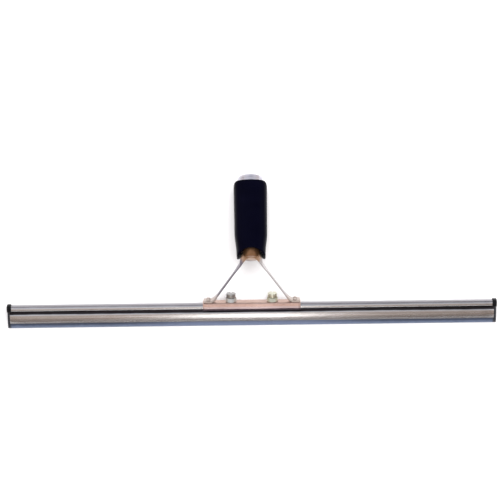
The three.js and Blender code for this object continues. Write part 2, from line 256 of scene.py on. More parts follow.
def bulb_angle(half, grow):
    """The angle under the bulb's middle at which it is a given half width."""
    return -math.acos((half / (BULB_HALF + grow)) ** (BULB_POWER / 2))


def mirrored(points):
    return [(height, -front) for height, front in reversed(points)]


def inset(points, distance):
    """An open line moved to its right, with mitred corners."""
    moved_points = []
    for i, point in enumerate(points):
        here = Vector(point)
        before = Vector(points[max(i - 1, 0)])
        after = Vector(points[min(i + 1, len(points) - 1)])
        one = (here - before).normalized() if i else (after - here).normalized()
        two = (after - here).normalized() if i < len(points) - 1 else one
        along = (one + two).normalized()
        stretch = distance / max(along.dot(one), 0.6)
        moved_points.append((here.x + along.y * stretch, here.y - along.x * stretch))
    return moved_points


def channel_section():
    """The bent strip, from the rounded edge of one skirt over the bulb to the other."""
    outside = [(LIP_HEIGHT, LIP_HALF)]
    skirt_middle = ((LIP_HEIGHT + SKIRT_HEIGHT) / 2, SKIRT_HALF)
    outside += curve(outside[0], skirt_middle, (SKIRT_HEIGHT, SKIRT_HALF), 16)
    outside += curve(outside[-1], (GROOVE_BOTTOM, SKIRT_HALF), (GROOVE_BOTTOM, GROOVE_HALF), 9)
    outside += bulb_arc(0, bulb_angle(GROOVE_HALF, 0), math.pi / 2, 30)
    inside = inset(outside, SHEET)
    inside[-1] = (inside[-1][0], 0)
    lip_middle = (Vector(outside[0]) + Vector(inside[0])) / 2
    out = Vector(outside[0]) - lip_middle
    down = Vector((-out.y, out.x))
    turns = [math.radians(a) for a in span(0, 180, 8)[1:-1]]
    lip = [tuple(lip_middle - out * math.cos(a) + down * math.sin(a)) for a in turns]
    half = lip + outside
    outer = half + mirrored(half)[1:]
    inner = inside + mirrored(inside)[1:]
    return outer + list(reversed(inner))


def make_channel(material):
    stations = span(-CHANNEL_LENGTH / 2, CHANNEL_LENGTH / 2, 48)
    piece = add_mesh("stainless_channel", prism(channel_section(), stations), BLADE)
    round_edges(piece, 0.12, 2, 50)
    settle(piece, material, "channel", "stainless", "channel")


def make_blade(material):
    """The flat wiper, its neck and the bead that runs in the bulb."""
    front = [(0, 0.94), (0.06, 1.0), (LIP_HEIGHT, 1.35), (11.5, 1.35)]
    front += curve(front[-1], (12.8, 1.35), (13.5, 0.95), 5)
    front += [(17.0, 0.95)] + curve((17.0, 0.95), (17.3, 1.3), (18.0, 1.9), 5)
    front += curve(front[-1], (18.5, 2.4), (19.05, 2.4), 5)
    front += curve(front[-1], (19.7, 2.4), (19.9, 1.6), 6)
    section = front + mirrored(front)
    stations = span(-BLADE_LENGTH / 2, BLADE_LENGTH / 2, 60)
    piece = add_mesh("rubber_blade", prism(section, stations), BLADE)
    round_edges(piece, 0.08, 2, 60)
    settle(piece, material, "blade", "blade_rubber", "blade_rubber")


def make_clip(side, sign, material):
    """A cap over the end of the bulb, open below for the rubber, with a stem inside the bulb."""
    end = CHANNEL_LENGTH / 2

    def outline(grow):
        return bulb_arc(grow, 0, 2 * math.pi, 72)[:-1]

    def block(half, low, high):
        return [(low, -half), (low, half), (high, half), (high, -half)]

    profile = [(-1.2, 0), (-0.95, 0.25), (1.9, 0.25), (2.4, 0.05), (2.7, -0.45)]
    rings = [[(end + x, h, f) for h, f in outline(CLIP_WALL + grow)] for x, grow in profile]
    cap = add_mesh("end_clip_" + side, loft(rings), BLADE)
    combine(cap, prism(outline(CLIP_SLACK), (end - 5, end + 0.15)), BLADE)
    whole = (end - 9, end + 9)
    combine(cap, prism(block(CLIP_SLIT + 0.3, 10, BULB_CENTRE - BULB_RISE), whole), BLADE)
    combine(cap, prism(block(CLIP_SLIT, 10, STEM_LOW - 0.05), whole), BLADE)
    stem = prism(block(STEM_HALF, STEM_LOW, STEM_HIGH), (end - STEM_LENGTH, end + 1.2))
    combine(cap, stem, BLADE, "UNION")
    if sign < 0:
        cap.data.transform(Matrix.Scale(-1, 4, (1, 0, 0)))
        outward(cap)
    round_edges(cap, 0.18, 2, 40)
    settle(cap, material, "clip_" + side, "clip_plastic", "end_clip_" + side)


# ---- clamp ----

def drill(piece, radius, x, z, start, end):
    combine(piece, moved(turned([(radius, start), (radius, end)], 40), (x, 0, z)), BLADE)


def drill_rivet_holes(piece, start, end):
    for _, sign in SIDES:
        for z in (-RIVET_Z, RIVET_Z):
            drill(piece, RIVET_HOLE, sign * RIVET_X, z, start, end)


def make_saddle(material):
    """A bar that wraps the bulb from outside, with holes for the screws and the rivets."""
    grow = SADDLE_SLACK + SADDLE_WALL
    side = BULB_HALF + grow
    corner = [(SADDLE_TOP, side - SADDLE_CORNER)]
    corner += curve(corner[0], (SADDLE_TOP, side), (SADDLE_TOP - SADDLE_CORNER, side), 10)
    hug = bulb_arc(grow, 0, bulb_angle(SADDLE_LIP, grow), 20)
    inner = bulb_arc(SADDLE_SLACK, bulb_angle(SADDLE_LIP, SADDLE_SLACK), math.pi / 2, 24)
    half = corner + hug + inner
    section = half + mirrored(half)[1:-1]
    piece = add_mesh("clamp_saddle_bronze", prism(section, span(-SADDLE_HALF, SADDLE_HALF, 40)), BLADE)
    for _, sign in SIDES:
        drill(piece, SCREW_HOLE, sign * SCREW_X, 0, 21, 27)
    drill_rivet_holes(piece, 21, 27)
    round_edges(piece, 0.35, 3, 40)
    settle(piece, material, "handle", "clamp_bronze", "clamp_saddle")


def make_rivets(material):
    seat = FOOT_TOP + 0.05
    profile = [(0.6, 22.9), (1.05, 22.95), (1.1, 23.2), (1.1, seat - 0.02), (1.75, seat)]
    profile += arc((0.95, seat + 0.25), 0.95, -10, 60, 8)
    profile += [(0.8, seat + 1.17), (0.3, seat + 1.24)]
    for side, sign in SIDES:
        for face, z in (("front", RIVET_Z), ("rear", -RIVET_Z)):
            name = f"foot_rivet_{side}_{face}"
            rivet = add_mesh(name + "_head", moved(turned(profile, 36), (sign * RIVET_X, 0, z)), BLADE)
            smooth(rivet, 50)
            settle(rivet, material, "handle", "bronze", name)


def make_nut(side, sign, material):
    place = (sign * SCREW_X, 0, 0)
    corner = NUT_FLATS / 2 / math.cos(math.pi / 6)
    top = NUT_BOTTOM + NUT_HEIGHT
    hexagon = turned([(corner, NUT_BOTTOM), (corner, top)], 6)
    nut = add_mesh("clamp_nut_hex_" + side, moved(hexagon, place), BLADE)
    chamfer = [(4.2, NUT_BOTTOM - 0.01), (corner + 0.1, NUT_BOTTOM + 0.55), (corner + 0.1, top - 0.55),
               (4.2, top + 0.01)]
    combine(nut, moved(turned(chamfer, 96), place), BLADE, "INTERSECT")
    bore = [(3.6, NUT_BOTTOM - 1), (3.6, NUT_BOTTOM + 1.3), (2.75, NUT_BOTTOM + 1.3), (2.75, top - 0.35),
            (3.3, top + 0.2)]
    combine(nut, moved(turned(bore, 48), place), BLADE)
    round_edges(nut, 0.12, 2, 25)
    settle(nut, material, "handle", "screw_metal", "clamp_nut_" + side)


def thread_rings(start, end, segments):
    """A right-hand thread as rings whose radius rises and falls along a helix."""
    rings = []
    rows = max(2, round((end - start) / PITCH * 10))
    for height in span(start, end, rows):
        ring = []
        for i in range(segments):
            angle = 2 * math.pi * i / segments
            phase = (height / PITCH + i / segments) % 1
            fade = ease(height, start, start + 0.5)
            crest = 1 - abs(2 * phase - 1)
            radius = THREAD_RADIUS - THREAD_DEPTH * (1 - min(crest * 1.25, 1) * fade)
            ring.append((radius * math.cos(angle), height, radius * math.sin(angle)))
        rings.append(ring)
    return rings


def make_screw(side, sign, material):
    """A tip that turns in the pad, a thread and a round slotted head."""
    segments = 64
    middle = sign * SCREW_X
    head_top = HEAD_BOTTOM + HEAD_HEIGHT
    tip = [(0.8, PAD_TOP - 0.2), (1.0, PAD_TOP - 0.1), (1.0, PAD_TOP + 0.3)]
    head = [(THREAD_RADIUS - 0.1, HEAD_BOTTOM), (HEAD_RADIUS - 0.35, HEAD_BOTTOM)]
    head += arc((HEAD_RADIUS - 0.25, HEAD_BOTTOM + 0.25), 0.25, -70, 0, 4)
    head += arc((HEAD_RADIUS - 0.6, head_top - 0.6), 0.6, 0, 80, 7)
    head += [(3.2, head_top), (1.2, head_top)]
    rings = [circle(radius, height, segments) for radius, height in tip]
    rings += thread_rings(PAD_TOP + 0.35, HEAD_BOTTOM - 0.05, segments)
    rings += [circle(radius, height, segments) for radius, height in head]
    screw = add_mesh("clamp_screw_slotted_" + side, moved(loft(rings), (middle, 0, 0)), BLADE)
    low, high = head_top - SLOT_DEPTH, head_top + 1
    slot = prism([(low, -6), (low, 6), (high, 6), (high, -6)], (middle - SLOT_HALF, middle + SLOT_HALF))
    combine(screw, slot, BLADE)
    smooth(screw, 38)
    settle(screw, material, "screw_" + side, "screw_metal", "clamp_screw_" + side)


def make_pad(side, sign, material):
    """A disc between the screw and the channel, with a socket for the screw's tip."""
    profile = [(PAD_RADIUS - 0.25, PAD_TOP - 0.97), (PAD_RADIUS - 0.05, PAD_TOP - 0.85),
               (PAD_RADIUS, PAD_TOP - 0.1), (PAD_RADIUS - 0.1, PAD_TOP), (1.35, PAD_TOP),
               (1.3, PAD_TOP - 0.08), (1.3, PAD_TOP - 0.5)]
    disc = moved(turned(profile, 48), (sign * SCREW_X, 0, 0))
    pad = add_mesh("pressure_pad_disc_" + side, disc, BLADE)
    smooth(pad, 35)
    settle(pad, material, "pad_" + side, "pad_brass", "pressure_pad_" + side)


# ---- yoke ----

def bent(x, along, front):
    """A point of the flat yoke, bent back about X at the neck."""
    start = BEND_AT - BEND_RADIUS * math.tan(BEND / 2)
    turn = min(max((along - start) / BEND_RADIUS, 0), BEND)
    past = max(along - start - BEND_RADIUS * BEND, 0)
    before = min(along, start)
    radius = BEND_RADIUS + front
    height = before + radius * math.sin(turn) + past * math.cos(turn)
    return (x, height, -BEND_RADIUS + radius * math.cos(turn) - past * math.sin(turn))


def leg_line(along, side):
    """X of a leg's outer edge (side 1) or inner edge (side -1)."""
    return LEG_X + side * LEG_HALF + (LEG_HEIGHT - along) * LEG_SLOPE


def yoke_edges():
    """Matching points of the inner and outer edge of the right half, from the crown to the foot."""
    crown_half, crown_low, crown_high = 10.9, 62.5, 72.9
    outer_start, inner_end, outer_end = 58.6, 29, 31.5
    inner = [(0, WINDOW_TOP)]
    inner += curve(inner[0], (leg_line(WINDOW_TOP, -1), WINDOW_TOP),
                   (leg_line(LEG_HEIGHT, -1), LEG_HEIGHT), 18)
    outer = []
    for angle in span(math.pi / 2, 0.0, 12):
        out, up = squircle(angle, 2.5)
        outer.append((crown_half * out, crown_low + (crown_high - crown_low) * up))
    outer += curve(outer[-1], (crown_half, crown_low - 1.2), (leg_line(outer_start, 1), outer_start), 6)
    inner += [(leg_line(a, -1), a) for a in span(LEG_HEIGHT, inner_end, 16)[1:]]
    outer += [(leg_line(a, 1), a) for a in span(outer_start, outer_end, 16)[1:]]
    inner += curve(inner[-1], (leg_line(FOOT_BASE, -1), FOOT_BASE), (FOOT_INNER, FOOT_BASE), 10)
    outer += curve(outer[-1], (leg_line(FOOT_TOP, 1), FOOT_TOP), (FOOT_INNER + 1.5, FOOT_TOP), 10)
    inner += [(x, FOOT_BASE) for x in span(FOOT_INNER, FOOT_OUTER, 4)[1:]]
    outer += [(x, FOOT_TOP) for x in span(FOOT_INNER + 1.5, FOOT_OUTER, 4)[1:]]
    return list(zip(inner, outer))


def yoke_depth(along):
    """Half the yoke's thickness, from front to back."""
    flare = ease(along, 50, 64)
    foot = 1 - ease(along, FOOT_TOP + 0.5, FOOT_TOP + 6)
    return LEG_DEPTH + (CROWN_DEPTH - LEG_DEPTH) * flare + (FOOT_DEPTH - LEG_DEPTH) * foot


def rounded_bar(inner, outer, depth, foot):
    """A rounded rectangle between the two edges, bent with the yoke."""
    inner, outer = Vector(inner), Vector(outer)
    half = (outer - inner).length / 2
    radius = 0.4 if foot else min(2.6, 0.92 * half)
    flat_long, flat_deep = half - radius, depth - radius
    corners = ((1, 1), (-1, 1), (-1, -1), (1, -1))
    ring = []
    for i, (u, v) in enumerate(corners):
        next_u, next_v = corners[(i + 1) % 4]
        lengthwise = i % 2 == 0
        ring += arc((u * flat_long, v * flat_deep), radius, i * 90, i * 90 + 90, 4)
        start = ring[-1]
        end = (next_u * flat_long, start[1]) if lengthwise else (start[0], next_v * flat_deep)
        for t in span(0, 1, 5 if lengthwise else 4)[1:-1]:
            ring.append((start[0] + (end[0] - start[0]) * t, start[1] + (end[1] - start[1]) * t))
    middle = (inner + outer) / 2
    axis = (outer - inner).normalized()
    points = []
    for long, deep in ring:
        at = middle + axis * long
        points.append(bent(at.x, at.y, deep))
    return points


def pin_hole():
    """The hole for the cross pin, through the spigot and the socket tube."""
    return across_x(turned([(PIN_HOLE, -20), (PIN_HOLE, 20)], 32), PIN_AT)


def make_yoke(material):
    """Two legs that meet in a crown, with flat feet and a spigot that goes into the grip."""
    half = []
    for inner, outer in yoke_edges():
        depth = yoke_depth((inner[1] + outer[1]) / 2)
        half.append(rounded_bar(inner, outer, depth, inner[0] >= FOOT_INNER))
    left = [[(-x, y, z) for x, y, z in ring] for ring in half[1:]]
    piece = add_mesh("bronze_yoke", loft(list(reversed(left)) + half), BLADE)
    spigot = [(SPIGOT_RADIUS - 0.4, -1), (SPIGOT_RADIUS, -0.6), (SPIGOT_RADIUS, SPIGOT_END - 0.8),
              (SPIGOT_RADIUS - 0.8, SPIGOT_END)]
    combine(piece, turned(spigot), GRIP, "UNION")
    combine(piece, pin_hole(), GRIP)
    drill_rivet_holes(piece, 22, 30)
    smooth(piece, 40)
    settle(piece, material, "handle", "bronze", "yoke")


# ---- grip ----

def grip_size(along):
    """Half width and half thickness of the grip at a distance along it."""
    straight = GRIP_LENGTH - GRIP_SHOULDER
    share = 0.7 * ease(along, 5, 23) + 0.3 * min(max(along / straight, 0), 1)
    rise = min(max(0, (along - straight) / GRIP_SHOULDER), 1)
    fall = 1 - math.sqrt(1 - rise ** 2)
    size = []
    for low, high, end in zip(GRIP_LOW, GRIP_HIGH, GRIP_END):
        full = low + (high - low) * share
        size.append(full + (end - full) * fall)
    return size


def scallop(x):
    """Height of the grip's arched lower edge."""
    return SCALLOP_CENTRE + math.sqrt(SCALLOP_RADIUS ** 2 - min(abs(x), SCALLOP_REACH) ** 2)


def make_grip(material):
    """A sleeve with an arched lower edge, round shoulders, faint mould seams and a bore."""
    around = 128
    edge_round, seam_rise = 0.7, 0.1
    shoulder_inset = 0.985
    rings = []

    def ring_at(share, shrink=0.0, lift=0.0):
        """Outer points a share of the way from the arched lower edge to the top."""
        ring = []
        for i in range(around):
            angle = 2 * math.pi * i / around
            out, up = squircle(angle, GRIP_POWER)
            low = scallop(GRIP_LOW[0] * out)
            along = low + (GRIP_LENGTH - low) * share + lift
            wide, thick = grip_size(along)
            seam = seam_rise * math.exp(-(up * 16) ** 2)
            seam *= ease(share, 0.01, 0.04) * (1 - ease(share, 0.93, 0.97))
            ring.append(((wide - shrink + seam) * out, along, (thick - shrink) * up))
        return ring

    for a in span(0, 90, 5):
        turn = math.radians(a)
        rings.append(ring_at(0, edge_round * (1 - math.sin(turn)), edge_round * (1 - math.cos(turn))))
    straight_share = 1 - GRIP_SHOULDER / GRIP_LENGTH
    rings += [ring_at(share) for share in span(0.02, straight_share, 34)]
    for a in span(0, 90, 12)[1:]:
        share = straight_share + (1 - straight_share) * math.sin(math.radians(a))
        rings.append(ring_at(share))
    rings.append([(x * shoulder_inset, y, z * shoulder_inset) for x, y, z in rings[-1]])

    def bore_ring(along, radius=BORE, arched=False):
        """Points of the round bore, each facing a point of the outline."""
        ring = []
        for i in range(around):
            out, up = squircle(2 * math.pi * i / around, GRIP_POWER)
            aspect = 1.1
            length = math.hypot(out * aspect, up)
            x, z = radius * out * aspect / length, radius * up / length
            ring.append((x, scallop(x) + along if arched else along, z))
        return ring

    rings += [bore_ring(GRIP_LENGTH, BORE + 0.25), bore_ring(GRIP_LENGTH - 0.25)]
    rings += [bore_ring(along) for along in span(GRIP_LENGTH - 4, 12, 6)]
    rings += [bore_ring(0.4, BORE, True), bore_ring(0.0, BORE + 0.35, True)]
    piece = add_mesh("rubber_grip", loft(rings, closed=True), GRIP)
    smooth(piece, 50)
    settle(piece, material, "handle", "grip_rubber", "grip_sleeve")


def make_tube(material):
    """The pole socket: a tapered bore with fine grooves."""
    profile = [(THROAT + 0.15, TUBE_START), (TUBE_RADIUS - 0.2, TUBE_START),
               (TUBE_RADIUS, TUBE_START + 0.2), (TUBE_RADIUS, TUBE_END - 0.2),
               (TUBE_RADIUS - 0.15, TUBE_END), (MOUTH + 0.2, TUBE_END), (MOUTH, TUBE_END - 0.2)]
    groove = 0.06
    for i, along in enumerate(span(TUBE_END - 1, SPIGOT_END + 2, 52)):
        taper = THROAT + (MOUTH - THROAT) * (along - SPIGOT_END) / (TUBE_END - SPIGOT_END)
        profile.append((taper + groove * (i % 2), along))
    profile += [(THROAT, SPIGOT_END), (THROAT, TUBE_START + 0.2)]
    tube = add_mesh("socket_tube", turned(profile, 72, closed=True), GRIP)
    combine(tube, pin_hole(), GRIP)
    smooth(tube, 35)
    settle(tube, material, "handle", "tube_metal", "pole_socket")


def make_pin(material):
    half = [(PIN_RADIUS, PIN_HALF - 0.3), (PIN_RADIUS - 0.3, PIN_HALF)]
    profile = [(radius, -along) for radius, along in reversed(half)] + half
    pin = add_mesh("cross_pin", across_x(turned(profile, 32), PIN_AT), GRIP)
    smooth(pin, 35)
    settle(pin, material, "handle", "tube_metal", "socket_pin")


def make_collar(material):
    """A rolled ring on the end of the grip, with one groove round it."""
    profile = [(BORE, COLLAR_START - 0.2), (COLLAR_RADIUS - 0.35, COLLAR_START - 0.2)]
    profile += arc((COLLAR_RADIUS - 0.3, COLLAR_START + 0.1), 0.3, -80, 0, 4)
    groove = COLLAR_START + 2.4
    profile += [(COLLAR_RADIUS, groove - 0.3), (COLLAR_RADIUS - 0.22, groove - 0.12),
                (COLLAR_RADIUS - 0.22, groove + 0.12), (COLLAR_RADIUS, groove + 0.3)]
    profile += arc((COLLAR_RADIUS - 0.9, COLLAR_END - 0.9), 0.9, 0, 85, 8)
    profile += [(COLLAR_LIP + 0.35, COLLAR_END)]
    profile += arc((COLLAR_LIP + 0.35, COLLAR_END - 0.35), 0.35, 100, 180, 4)
    profile += [(COLLAR_LIP, TUBE_END + 0.1), (BORE, TUBE_END + 0.1)]
    collar = add_mesh("rolled_collar", turned(profile, 96, closed=True), GRIP)
    smooth(collar, 35)
    settle(collar, material, "handle", "collar_metal", "socket_collar")


# ---- materials ----

def ramp(tree, value, stops, interpolation="LINEAR"):
    """Colours by value. A stop is (value, colour)."""
    node = tree.nodes.new("ShaderNodeValToRGB")
    node.color_ramp.interpolation = interpolation
    elements = node.color_ramp.elements
    for element, (at, tone) in zip(elements, (stops[0], stops[-1])):
        element.position = at
        element.color = (*tone, 1)
    for at, tone in stops[1:-1]:
        elements.new(at).color = (*tone, 1)
    tree.links.new(value, node.inputs["Fac"])
    return node.outputs["Color"]


class Finish:
    """A small helper that builds one procedural material on the object's own coordinates."""

    def __init__(self, name):
        self.material = bpy.data.materials.new(name)
        self.material.use_nodes = True
        self.tree = self.material.node_tree
        self.shader = self.tree.nodes["Principled BSDF"]
        self.place = self.tree.nodes.new("ShaderNodeTexCoord").outputs["Object"]

    def noise(self, scale, detail=3.0, rough=0.55):
        """Noise with its own scale along X, Y and Z, in cycles per metre."""
        mapping = self.tree.nodes.new("ShaderNodeMapping")
        mapping.inputs["Scale"].default_value = scale
        self.tree.links.new(self.place, mapping.inputs["Vector"])
        noise = self.tree.nodes.new("ShaderNodeTexNoise")
        noise.inputs["Scale"].default_value = 1.0
        noise.inputs["Detail"].default_value = detail
        noise.inputs["Roughness"].default_value = rough
        self.tree.links.new(mapping.outputs["Vector"], noise.inputs["Vector"])
        return noise.outputs["Fac"]

    def height(self, place):
        """Distance up a local frame's Y axis, in millimetres."""
        up = place.to_3x3().col[1].normalized()
        dot = self.tree.nodes.new("ShaderNodeVectorMath")
        dot.operation = "DOT_PRODUCT"
        dot.inputs[1].default_value = up / MM
        self.tree.links.new(self.place, dot.inputs[0])
        return self.join(dot.outputs["Value"], up.dot(place.translation) / MM, "SUBTRACT")

    def split(self, axis):
        split = self.tree.nodes.new("ShaderNodeSeparateXYZ")
        self.tree.links.new(self.place, split.inputs[0])
        return split.outputs[axis]

    def along_x(self):
        """Distance from the middle of the blade along it, in millimetres."""
        return self.join(self.join(self.split("X"), 0.0, "ABSOLUTE"), 1 / MM)

    def join(self, one, two, operation="MULTIPLY"):
        """One operation on two values, each a socket or a number."""
        math_node = self.tree.nodes.new("ShaderNodeMath")
        math_node.operation = operation
        for socket, value in zip(math_node.inputs, (one, two)):
            if isinstance(value, bpy.types.NodeSocket):
                self.tree.links.new(value, socket)
            else:
                socket.default_value = value
        return math_node.outputs[0]

    def cells(self, scale):
        voronoi = self.tree.nodes.new("ShaderNodeTexVoronoi")
        voronoi.inputs["Scale"].default_value = scale
        self.tree.links.new(self.place, voronoi.inputs["Vector"])
        return voronoi.outputs["Distance"]

    def ramp(self, value, stops):
        return ramp(self.tree, value, stops)

    def between(self, value, low, high, start=0.3, end=0.7):
        """Low where the value is at the start, high where it is at the end, and a slope between."""
        spread = self.tree.nodes.new("ShaderNodeMapRange")
        for name, number in (("From Min", start), ("From Max", end), ("To Min", low), ("To Max", high)):
            spread.inputs[name].default_value = number
        self.tree.links.new(value, spread.inputs["Value"])
        return spread.outputs["Result"]

    def blend(self, share, one, two, mode="MIX"):
        mix = self.tree.nodes.new("ShaderNodeMix")
        mix.data_type = "RGBA"
        mix.blend_type = mode
        for socket, value in (("Factor", share), ("A", one), ("B", two)):
            target = [s for s in mix.inputs if s.name == socket and s.enabled][0]
            if isinstance(value, bpy.types.NodeSocket):
                self.tree.links.new(value, target)
            else:
                target.default_value = value
        return [s for s in mix.outputs if s.enabled][0]

    def bump(self, height, strength, distance, under=None):
        bump = self.tree.nodes.new("ShaderNodeBump")
        bump.inputs["Strength"].default_value = strength
        bump.inputs["Distance"].default_value = distance
        self.tree.links.new(height, bump.inputs["Height"])
        if under is not None:
            self.tree.links.new(under, bump.inputs["Normal"])
        return bump.outputs["Normal"]

    def set(self, **values):
        names = {"color": "Base Color", "roughness": "Roughness", "metallic": "Metallic",
                 "normal": "Normal", "specular": "Specular IOR Level"}
        for key, value in values.items():
            socket = self.shader.inputs[names[key]]
            if isinstance(value, bpy.types.NodeSocket):
                self.tree.links.new(value, socket)
            else:
                socket.default_value = value
        return self.material


def stainless():
    """Steel brushed along its length, with smudged stains and painted shade in the groove, at the lip
    and on the ridge of the bulb.
    """
    steel = Finish("brushed_stainless")
    lines = steel.noise((9, 2600, 2600), 4, 0.6)
    drawn = steel.noise((1.5, 420, 420), 2, 0.5)
    smudge = steel.noise((38, 90, 90), 4, 0.6)
    tone = steel.ramp(drawn, [(0.3, (0.56, 0.555, 0.565)), (0.5, (0.66, 0.655, 0.66)),
                              (0.72, (0.75, 0.745, 0.755))])
    stained = steel.blend(steel.between(smudge, 0.0, 0.35, 0.5, 0.8), tone, (0.56, 0.53, 0.50, 1))
    rise = steel.join(steel.height(BLADE), steel.between(smudge, -0.25, 0.25), "ADD")
    # Painted shade: a dark band in the groove under the bulb.
    above_skirt = steel.between(rise, 0.0, 1.0, 13.9, 14.9)
    below_bulb = steel.between(rise, 1.0, 0.0, 16.9, 17.7)
    groove = steel.join(steel.join(above_skirt, below_bulb), 0.97)
    # Painted shade along the lip of the skirt.
    lip = steel.between(rise, 0.75, 0.0, 5.2, 6.4)
    # Painted shade on the ridge of the bulb, darker than the steel would mirror.
    ridge = steel.between(rise, 0.0, 0.9, 20.8, 21.7)
    stains_and_painted_shade = steel.blend(groove, stained, (0.012, 0.009, 0.014, 1))
    stains_and_painted_shade = steel.blend(lip, stains_and_painted_shade, (0.05, 0.045, 0.045, 1))
    stains_and_painted_shade = steel.blend(ridge, stains_and_painted_shade, (0.26, 0.255, 0.275, 1))
    rough = steel.between(lines, 0.16, 0.34, 0.25, 0.75)
    normal = steel.bump(lines, 0.22, 0.00012)
    return steel.set(color=stains_and_painted_shade, roughness=rough, metallic=1.0, normal=normal)


def both(*shade):
    """The same colour at the left and at the right."""
    return shade, shade


def bronze(name, dark, middle, light, spots, bands, shoulder=0.0, metallic=1.0):
    """Satin bronze with dark spots. A band is (height where it is full, height where it is gone,
    strength, drift in height, colours at the left and right); most bands are painted shade or painted
    highlights. The shoulder lifts the bands away from the middle."""
    metal = Finish(name)
    grain = metal.noise((900, 900, 900), 4, 0.6)
    cloud = metal.noise((55, 55, 55), 5, 0.6)
    polish = metal.noise((60, 1300, 1300), 3, 0.55)
    tone = metal.ramp(cloud, [(0.3, dark), (0.5, middle), (0.72, light)])
    patina_and_painted_light = metal.blend(metal.between(grain, 0.0, spots, 0.52, 0.78), tone, (0.22, 0.11, 0.055, 1))
    lift = metal.between(metal.along_x(), 0.0, shoulder, 6.5, 9.5)
    # Mask for the right half, so a band can paint one side lighter than the other.
    right = metal.between(metal.split("X"), 0.0, 1.0, -2 * MM, 2 * MM)
    # Each band blends its colour in; most are painted shade or painted highlights.
    for full, gone, strength, drift, shades in bands:
        rise = metal.join(metal.height(BLADE), metal.between(cloud, -drift, drift), "ADD")
        fade = metal.between(metal.join(rise, lift, "SUBTRACT"), strength, 0.0, full, gone)
        left_shade, right_shade = ((*shade, 1) for shade in shades)
        patina_and_painted_light = metal.blend(fade, patina_and_painted_light, metal.blend(right, left_shade, right_shade))
    rough = metal.between(polish, 0.24, 0.44, 0.3, 0.7)
    normal = metal.bump(grain, 0.25, 0.00018, metal.bump(polish, 0.15, 0.0001))
    return metal.set(color=patina_and_painted_light, roughness=rough, metallic=metallic, normal=normal)


def machined(name, dark, light, low=0.22, high=0.42, dark_below=0.0):
    """Machined metal, dark below a height up the grip if one is given."""
    metal = Finish(name)
    cloud = metal.noise((180, 180, 180), 4, 0.6)
    fine = metal.noise((2400, 2400, 2400), 3, 0.6)
    tone = metal.ramp(cloud, [(0.3, dark), (0.7, light)])
    if dark_below:
        depth = metal.between(metal.height(GRIP), 0.97, 0.0, dark_below, dark_below + 5)
        tone = metal.blend(depth, tone, (0.03, 0.02, 0.018, 1))
    normal = metal.bump(fine, 0.18, 0.00008)
    return metal.set(color=tone, roughness=metal.between(fine, low, high), metallic=1.0, normal=normal)


def grip_rubber():
    rubber = Finish("moulded_black_rubber")
    pebble = rubber.cells(1500)
    wear = rubber.noise((70, 70, 70), 4, 0.6)
    fine = rubber.noise((3200, 3200, 3200), 2, 0.5)
    tone = rubber.ramp(wear, [(0.3, (0.0002, 0.0002, 0.0038)), (0.6, (0.0005, 0.0005, 0.0052)),
                              (0.85, (0.0018, 0.0018, 0.0085))])
    rough = rubber.between(wear, 0.30, 0.46)
    normal = rubber.bump(pebble, 0.22, 0.0001, rubber.bump(fine, 0.12, 0.00004))
    return rubber.set(color=tone, roughness=rough, normal=normal, specular=0.04)


def blade_rubber():
    """Dark blue rubber with dust, lighter towards the wiping edge from wear and painted shade under the
    lip, with a painted highlight in the middle, dark at its two ends.
    """
    rubber = Finish("blade_rubber_smooth")
    streak = rubber.noise((6, 700, 700), 3, 0.55)
    dust = rubber.noise((160, 260, 260), 5, 0.65)
    tone = rubber.ramp(streak, [(0.3, (0.020, 0.028, 0.054)), (0.7, (0.040, 0.055, 0.100))])
    rise = rubber.join(rubber.height(BLADE), rubber.between(dust, -0.5, 0.5), "ADD")
    # Lighter towards the wiping edge: wear at the edge, and painted shade under the lip above it.
    edge_wear_and_lip_shade = rubber.blend(rubber.between(rise, 1.0, 0.0, 0.6, 3.4), tone, (0.135, 0.18, 0.275, 1))
    dust_and_painted_light = rubber.blend(rubber.between(dust, 0.0, 0.22, 0.55, 0.8), edge_wear_and_lip_shade, (0.15, 0.17, 0.21, 1))
    reach = rubber.join(rubber.along_x(), rubber.between(dust, -0.4, 0.4), "ADD")
    # Painted highlight: lighter in the middle of the blade.
    middle_highlight = rubber.between(reach, 0.55, 0.0, 50, 125)
    ends = rubber.between(reach, 0.0, 0.9, CHANNEL_LENGTH / 2 - 1, CHANNEL_LENGTH / 2 + 0.3)
    dust_and_painted_light = rubber.blend(middle_highlight, dust_and_painted_light, (0.17, 0.215, 0.34, 1))
    dust_and_painted_light = rubber.blend(ends, dust_and_painted_light, (0.010, 0.011, 0.014, 1))
    rough = rubber.between(dust, 0.34, 0.52)
    normal = rubber.bump(streak, 0.12, 0.0001)
    return rubber.set(color=dust_and_painted_light, roughness=rough, normal=normal, specular=0.6)


def clip_plastic():
    plastic = Finish("moulded_black_plastic")
    grain = plastic.noise((2600, 2600, 2600), 3, 0.6)
    cloud = plastic.noise((140, 140, 140), 3, 0.5)
    tone = plastic.ramp(cloud, [(0.3, (0.002, 0.002, 0.003)), (0.7, (0.006, 0.006, 0.007))])
    return plastic.set(color=tone, roughness=plastic.between(cloud, 0.36, 0.5),
                       normal=plastic.bump(grain, 0.2, 0.00006), specular=0.15)


# ---- stage, light and camera ----

def make_floor():
    bpy.ops.mesh.primitive_plane_add(size=8, location=(0, 0, 0))
    floor = bpy.context.object
    floor.name = "studio_floor"
    paper = Finish("pale_floor")
    grain = paper.noise((40, 40, 40), 3, 0.5)
    tone = paper.ramp(grain, [(0.3, (0.93, 0.93, 0.93)), (0.7, (0.95, 0.95, 0.95))])
    paper.set(color=tone, roughness=0.9, specular=0.1)
    floor.data.materials.append(paper.material)


